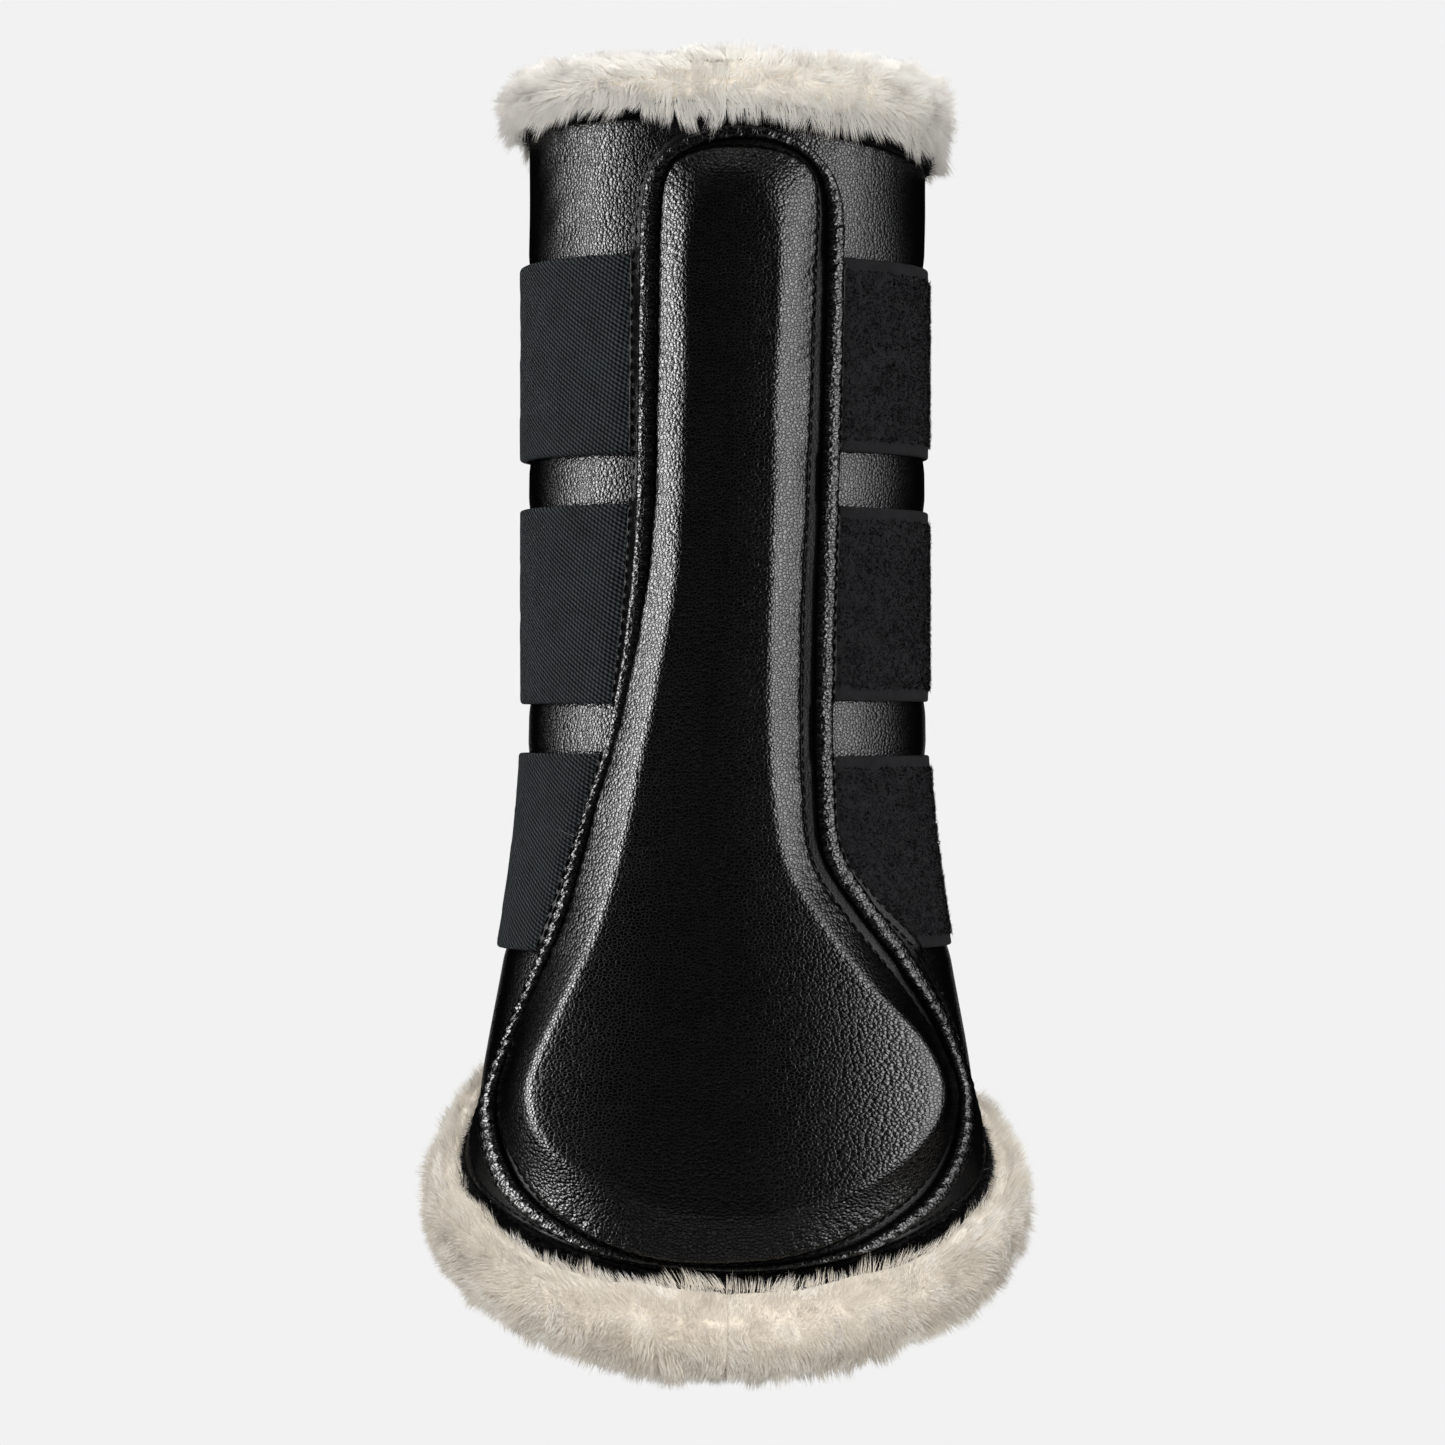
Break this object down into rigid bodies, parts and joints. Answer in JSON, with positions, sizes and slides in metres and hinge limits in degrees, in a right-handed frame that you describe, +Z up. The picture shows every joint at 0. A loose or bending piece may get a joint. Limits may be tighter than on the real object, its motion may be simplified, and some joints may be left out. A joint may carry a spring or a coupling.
{
  "type": "horse tendon boot",
  "caption": "Leather-covered horse leg boot with a moulded strike pad, rolled sheepskin lining and elastic hook-and-loop straps that close round the back.",
  "frame": {"origin": "on the axis of the leg passage, half way up the boot", "axes": "+Z up the leg; the strike pad faces -Y; the straps run from the pad round the -X side and close at the back"},
  "size_m": [0.1228, 0.115, 0.2624],
  "materials": {
    "leather": "pebbled, semi-gloss",
    "pad_leather": "pebbled, semi-gloss, moulded",
    "edge_leather": "semi-gloss, stitched",
    "sheepskin": "deep pile",
    "foam": "closed-cell foam",
    "pile_binding": "short pile",
    "loop_pile": "looped pile",
    "hook_tape": "moulded hooks",
    "elastic": "ribbed weave"
  },
  "bodies": {
    "front": {"pad_flange": "leather", "pad_border": "leather", "pad_cover": "pad_leather", "pad_core": "foam", "front_shell": "leather", "front_core": "foam", "front_lining": "sheepskin", "front_top_binding": "pile_binding", "front_bottom_binding": "pile_binding", "front_top_collar": "sheepskin", "front_bottom_collar": "sheepskin", "strap_top_front": "elastic", "strap_middle_front": "elastic", "strap_bottom_front": "elastic", "pile_top_front": "loop_pile", "pile_middle_front": "loop_pile", "pile_bottom_front": "loop_pile"},
    "left_wing": {"left_shell": "leather", "left_core": "foam", "left_lining": "sheepskin", "left_edge_binding": "edge_leather", "left_top_binding": "pile_binding", "left_bottom_binding": "pile_binding", "left_top_collar": "sheepskin", "left_bottom_collar": "sheepskin", "strap_top_side": "elastic", "strap_middle_side": "elastic", "strap_bottom_side": "elastic"},
    "right_wing": {"right_shell": "leather", "right_core": "foam", "right_lining": "sheepskin", "right_edge_binding": "edge_leather", "right_top_binding": "pile_binding", "right_bottom_binding": "pile_binding", "right_top_collar": "sheepskin", "right_bottom_collar": "sheepskin", "pile_top_side": "loop_pile", "pile_middle_side": "loop_pile", "pile_bottom_side": "loop_pile"},
    "top_strap_end": {"strap_top_tail": "elastic", "strap_top_tab": "edge_leather", "strap_top_hook": "hook_tape"},
    "middle_strap_end": {"strap_middle_tail": "elastic", "strap_middle_tab": "edge_leather", "strap_middle_hook": "hook_tape"},
    "bottom_strap_end": {"strap_bottom_tail": "elastic", "strap_bottom_tab": "edge_leather", "strap_bottom_hook": "hook_tape"}
  },
  "joints": [
    {"name": "left_wing_opening", "type": "hinge", "parent": "front", "child": "left_wing", "pos_m": [-0.046, 0, 0], "axis": [0, 0, 1], "range_deg": [0, 60]},
    {"name": "right_wing_opening", "type": "hinge", "parent": "front", "child": "right_wing", "pos_m": [0.046, 0, 0], "axis": [0, 0, 1], "range_deg": [-51, 0]},
    {"name": "top_strap_peel", "type": "hinge", "parent": "left_wing", "child": "top_strap_end", "pos_m": [-0.01407, 0.04063, 0.0718], "axis": [0, 0, 1], "range_deg": [0, 120]},
    {"name": "middle_strap_peel", "type": "hinge", "parent": "left_wing", "child": "middle_strap_end", "pos_m": [-0.01407, 0.04063, 0.0218], "axis": [0, 0, 1], "range_deg": [0, 120]},
    {"name": "bottom_strap_peel", "type": "hinge", "parent": "left_wing", "child": "bottom_strap_end", "pos_m": [-0.01526, 0.04407, -0.0482], "axis": [0.0285, -0.0824, 0.9962], "range_deg": [0, 120]}
  ],
  "couplings": [
    {"joint": "right_wing_opening", "follows": "left_wing_opening", "ratio": -0.85}
  ]
}
